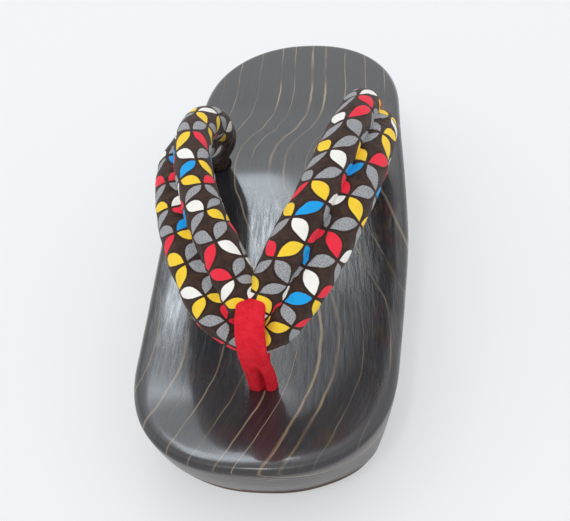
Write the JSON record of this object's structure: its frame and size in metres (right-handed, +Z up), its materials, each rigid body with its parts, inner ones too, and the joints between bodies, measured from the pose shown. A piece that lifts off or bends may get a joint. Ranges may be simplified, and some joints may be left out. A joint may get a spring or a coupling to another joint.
{
  "type": "geta sandal",
  "caption": "Low wooden geta sandal with an arched base, rubber soles, a padded V-shaped cotton strap and a felted toe loop.",
  "frame": {"origin": "on the floor, in the middle of the sandal's length and width", "axes": "+Z up, +Y from the toe to the heel, +X to the sandal's own left side seen by its wearer"},
  "size_m": [0.0968, 0.24, 0.0904],
  "materials": {
    "wood": "dark stained wood with lighter grain lines under a semi-gloss lacquer",
    "strap_cotton": "matte printed cotton, dark brown with petals in grey, red, yellow, white and blue",
    "loop_felt": "matte red felted velvet",
    "sole_rubber": "matte brown rubber"
  },
  "bodies": {
    "root": {"platform": "wood", "strap": "strap_cotton", "toe_loop": "loop_felt", "forefoot_rubber": "sole_rubber", "heel_rubber": "sole_rubber"}
  },
  "joints": []
}
